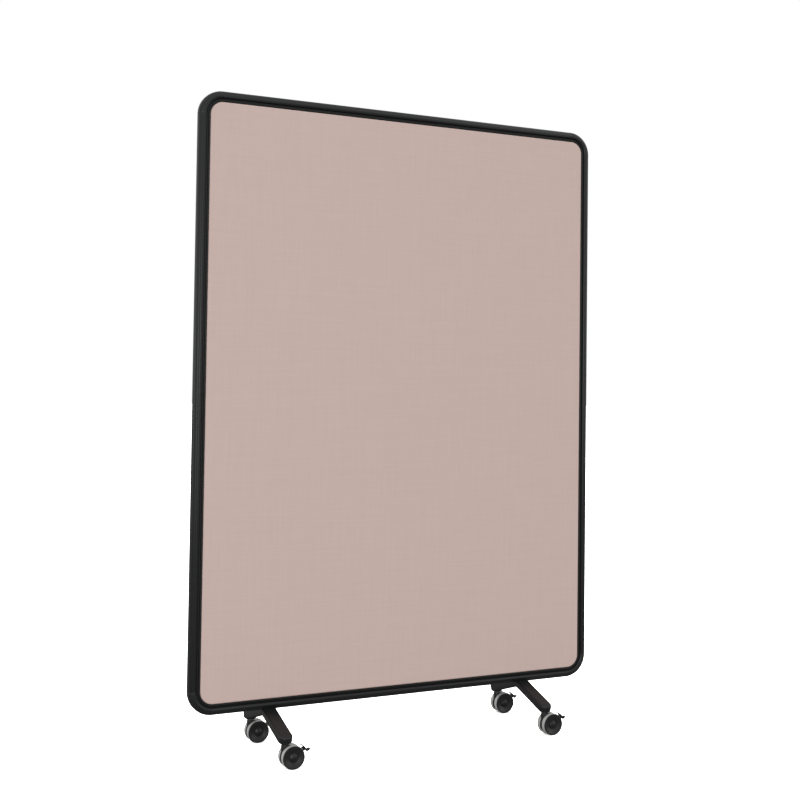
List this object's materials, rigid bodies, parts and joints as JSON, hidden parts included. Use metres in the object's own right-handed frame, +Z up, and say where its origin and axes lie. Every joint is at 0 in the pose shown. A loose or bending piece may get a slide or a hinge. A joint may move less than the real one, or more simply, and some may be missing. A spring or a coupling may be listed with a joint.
{
  "type": "rolling partition",
  "caption": "Free-standing rolling partition: a fabric-covered panel in a rounded black edge frame, on two sloping-arm feet with braked twin-wheel swivel casters.",
  "frame": {"origin": "on the floor, under the middle of the screen", "axes": "+X to the right seen from the front, -Y to the front, +Z up"},
  "size_m": [1.2, 0.3112, 1.736],
  "materials": {
    "frame_coat": "satin black powder coat on extruded aluminium",
    "foot_coat": "satin black powder coat on cast aluminium",
    "trim": "soft black vinyl trim",
    "fabric": "fine plain weave, dusty pink-beige",
    "foam": "open-cell acoustic foam",
    "core_board": "light fibre board",
    "key_alloy": "mill finish",
    "plated_steel": "zinc plated",
    "black_steel": "black oxide",
    "caster_nylon": "moulded black nylon, fine texture",
    "hub_nylon": "moulded black nylon, satin",
    "tread": "soft pale grey polyurethane"
  },
  "bodies": {
    "screen": {"left_stile": "frame_coat", "right_stile": "frame_coat", "top_rail": "frame_coat", "bottom_rail": "frame_coat", "top_left_corner": "frame_coat", "top_right_corner": "frame_coat", "bottom_left_corner": "frame_coat", "bottom_right_corner": "frame_coat", "corner_keys": "key_alloy", "grub_screws": "plated_steel", "core_board": "core_board", "front_foam": "foam", "rear_foam": "foam", "front_fabric": "fabric", "rear_fabric": "fabric", "front_trim": "trim", "rear_trim": "trim", "left_foot": "foot_coat", "right_foot": "foot_coat", "left_backing_plate": "plated_steel", "right_backing_plate": "plated_steel", "left_foot_screws": "black_steel", "right_foot_screws": "black_steel", "front_left_stem": "plated_steel", "front_right_stem": "plated_steel", "rear_left_stem": "plated_steel", "rear_right_stem": "plated_steel"},
    "front_left_swivel": {"front_left_hood": "caster_nylon", "front_left_axle": "plated_steel"},
    "front_left_brake": {"front_left_pedal": "caster_nylon"},
    "front_left_wheel_a": {"front_left_wheel_a_core": "hub_nylon", "front_left_wheel_a_tread": "tread"},
    "front_left_wheel_b": {"front_left_wheel_b_core": "hub_nylon", "front_left_wheel_b_tread": "tread"},
    "front_right_swivel": {"front_right_hood": "caster_nylon", "front_right_axle": "plated_steel"},
    "front_right_brake": {"front_right_pedal": "caster_nylon"},
    "front_right_wheel_a": {"front_right_wheel_a_core": "hub_nylon", "front_right_wheel_a_tread": "tread"},
    "front_right_wheel_b": {"front_right_wheel_b_core": "hub_nylon", "front_right_wheel_b_tread": "tread"},
    "rear_left_swivel": {"rear_left_hood": "caster_nylon", "rear_left_axle": "plated_steel"},
    "rear_left_brake": {"rear_left_pedal": "caster_nylon"},
    "rear_left_wheel_a": {"rear_left_wheel_a_core": "hub_nylon", "rear_left_wheel_a_tread": "tread"},
    "rear_left_wheel_b": {"rear_left_wheel_b_core": "hub_nylon", "rear_left_wheel_b_tread": "tread"},
    "rear_right_swivel": {"rear_right_hood": "caster_nylon", "rear_right_axle": "plated_steel"},
    "rear_right_brake": {"rear_right_pedal": "caster_nylon"},
    "rear_right_wheel_a": {"rear_right_wheel_a_core": "hub_nylon", "rear_right_wheel_a_tread": "tread"},
    "rear_right_wheel_b": {"rear_right_wheel_b_core": "hub_nylon", "rear_right_wheel_b_tread": "tread"}
  },
  "joints": [
    {"name": "front_left_swivel_turn", "type": "hinge", "parent": "screen", "child": "front_left_swivel", "pos_m": [-0.384, -0.136, 0.0614], "axis": [0, 0, 1], "continuous": true},
    {"name": "front_left_wheel_a_spin", "type": "hinge", "parent": "front_left_swivel", "child": "front_left_wheel_a", "pos_m": [-0.366, -0.136, 0.03], "axis": [0, 1, 0], "continuous": true},
    {"name": "front_left_wheel_b_spin", "type": "hinge", "parent": "front_left_swivel", "child": "front_left_wheel_b", "pos_m": [-0.366, -0.136, 0.03], "axis": [0, 1, 0], "continuous": true},
    {"name": "front_left_brake_press", "type": "hinge", "parent": "front_left_swivel", "child": "front_left_brake", "pos_m": [-0.37017, -0.136, 0.05364], "axis": [0, 1, 0], "range_deg": [0, 12]},
    {"name": "front_right_swivel_turn", "type": "hinge", "parent": "screen", "child": "front_right_swivel", "pos_m": [0.384, -0.136, 0.0614], "axis": [0, 0, 1], "continuous": true},
    {"name": "front_right_wheel_a_spin", "type": "hinge", "parent": "front_right_swivel", "child": "front_right_wheel_a", "pos_m": [0.402, -0.136, 0.03], "axis": [0, 1, 0], "continuous": true},
    {"name": "front_right_wheel_b_spin", "type": "hinge", "parent": "front_right_swivel", "child": "front_right_wheel_b", "pos_m": [0.402, -0.136, 0.03], "axis": [0, 1, 0], "continuous": true},
    {"name": "front_right_brake_press", "type": "hinge", "parent": "front_right_swivel", "child": "front_right_brake", "pos_m": [0.39783, -0.136, 0.05364], "axis": [0, 1, 0], "range_deg": [0, 12]},
    {"name": "rear_left_swivel_turn", "type": "hinge", "parent": "screen", "child": "rear_left_swivel", "pos_m": [-0.384, 0.136, 0.0614], "axis": [0, 0, 1], "continuous": true},
    {"name": "rear_left_wheel_a_spin", "type": "hinge", "parent": "rear_left_swivel", "child": "rear_left_wheel_a", "pos_m": [-0.366, 0.136, 0.03], "axis": [0, 1, 0], "continuous": true},
    {"name": "rear_left_wheel_b_spin", "type": "hinge", "parent": "rear_left_swivel", "child": "rear_left_wheel_b", "pos_m": [-0.366, 0.136, 0.03], "axis": [0, 1, 0], "continuous": true},
    {"name": "rear_left_brake_press", "type": "hinge", "parent": "rear_left_swivel", "child": "rear_left_brake", "pos_m": [-0.37017, 0.136, 0.05364], "axis": [0, 1, 0], "range_deg": [0, 12]},
    {"name": "rear_right_swivel_turn", "type": "hinge", "parent": "screen", "child": "rear_right_swivel", "pos_m": [0.384, 0.136, 0.0614], "axis": [0, 0, 1], "continuous": true},
    {"name": "rear_right_wheel_a_spin", "type": "hinge", "parent": "rear_right_swivel", "child": "rear_right_wheel_a", "pos_m": [0.402, 0.136, 0.03], "axis": [0, 1, 0], "continuous": true},
    {"name": "rear_right_wheel_b_spin", "type": "hinge", "parent": "rear_right_swivel", "child": "rear_right_wheel_b", "pos_m": [0.402, 0.136, 0.03], "axis": [0, 1, 0], "continuous": true},
    {"name": "rear_right_brake_press", "type": "hinge", "parent": "rear_right_swivel", "child": "rear_right_brake", "pos_m": [0.39783, 0.136, 0.05364], "axis": [0, 1, 0], "range_deg": [0, 12]}
  ]
}
